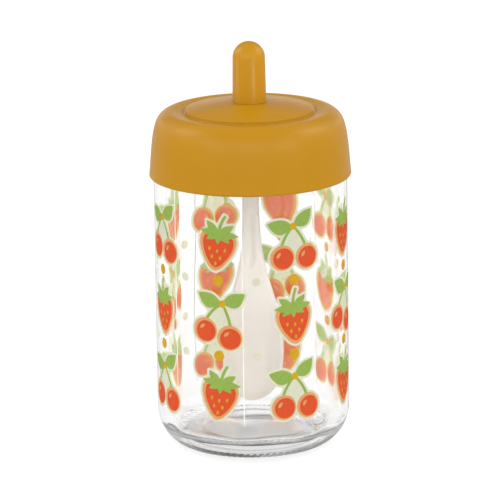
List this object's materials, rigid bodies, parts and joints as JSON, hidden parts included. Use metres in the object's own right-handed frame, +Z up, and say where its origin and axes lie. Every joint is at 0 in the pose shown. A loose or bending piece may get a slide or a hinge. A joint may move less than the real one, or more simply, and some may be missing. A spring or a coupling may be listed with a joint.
{
  "type": "condiment jar with spoon",
  "caption": "Round clear glass jar with a rounded screw cap; a domed disc in the cap's top has an upright knob that carries a long spoon hanging inside the jar.",
  "frame": {"origin": "centre of the jar's base, on the plane that it stands on", "axes": "+Z up along the jar's axis; the spoon's hollow side faces -Y, which is the front"},
  "size_m": [0.0832, 0.0832, 0.1691],
  "materials": {
    "glass": "clear pressed glass",
    "cap_plastic": "satin mustard",
    "seal": "translucent silicone",
    "spoon_plastic": "satin off-white",
    "print": "screen-printed ink in several colours on the outside of the glass"
  },
  "bodies": {
    "jar": {"jar": "glass"},
    "seal": {"cap_seal": "seal"},
    "cap": {"cap": "cap_plastic"},
    "disc": {"lid_disc": "cap_plastic"},
    "spoon": {"knob": "cap_plastic", "spoon": "spoon_plastic"}
  },
  "joints": [
    {"name": "cap_rise", "type": "slide", "parent": "jar", "child": "seal", "axis": [0, 0, 1], "range_m": [0, 0.0113]},
    {"name": "cap_turn", "type": "hinge", "parent": "seal", "child": "cap", "pos_m": [0, 0, 0.12], "axis": [0, 0, 1], "range_deg": [0, 900]},
    {"name": "spoon_lift", "type": "slide", "parent": "cap", "child": "disc", "axis": [0, 0, 1], "range_m": [0, 0.14]},
    {"name": "spoon_turn", "type": "hinge", "parent": "disc", "child": "spoon", "pos_m": [0, 0, 0.142], "axis": [0, 0, 1], "continuous": true}
  ],
  "couplings": [
    {"joint": "cap_rise", "follows": "cap_turn", "m_per_rad": 0.0007162}
  ]
}
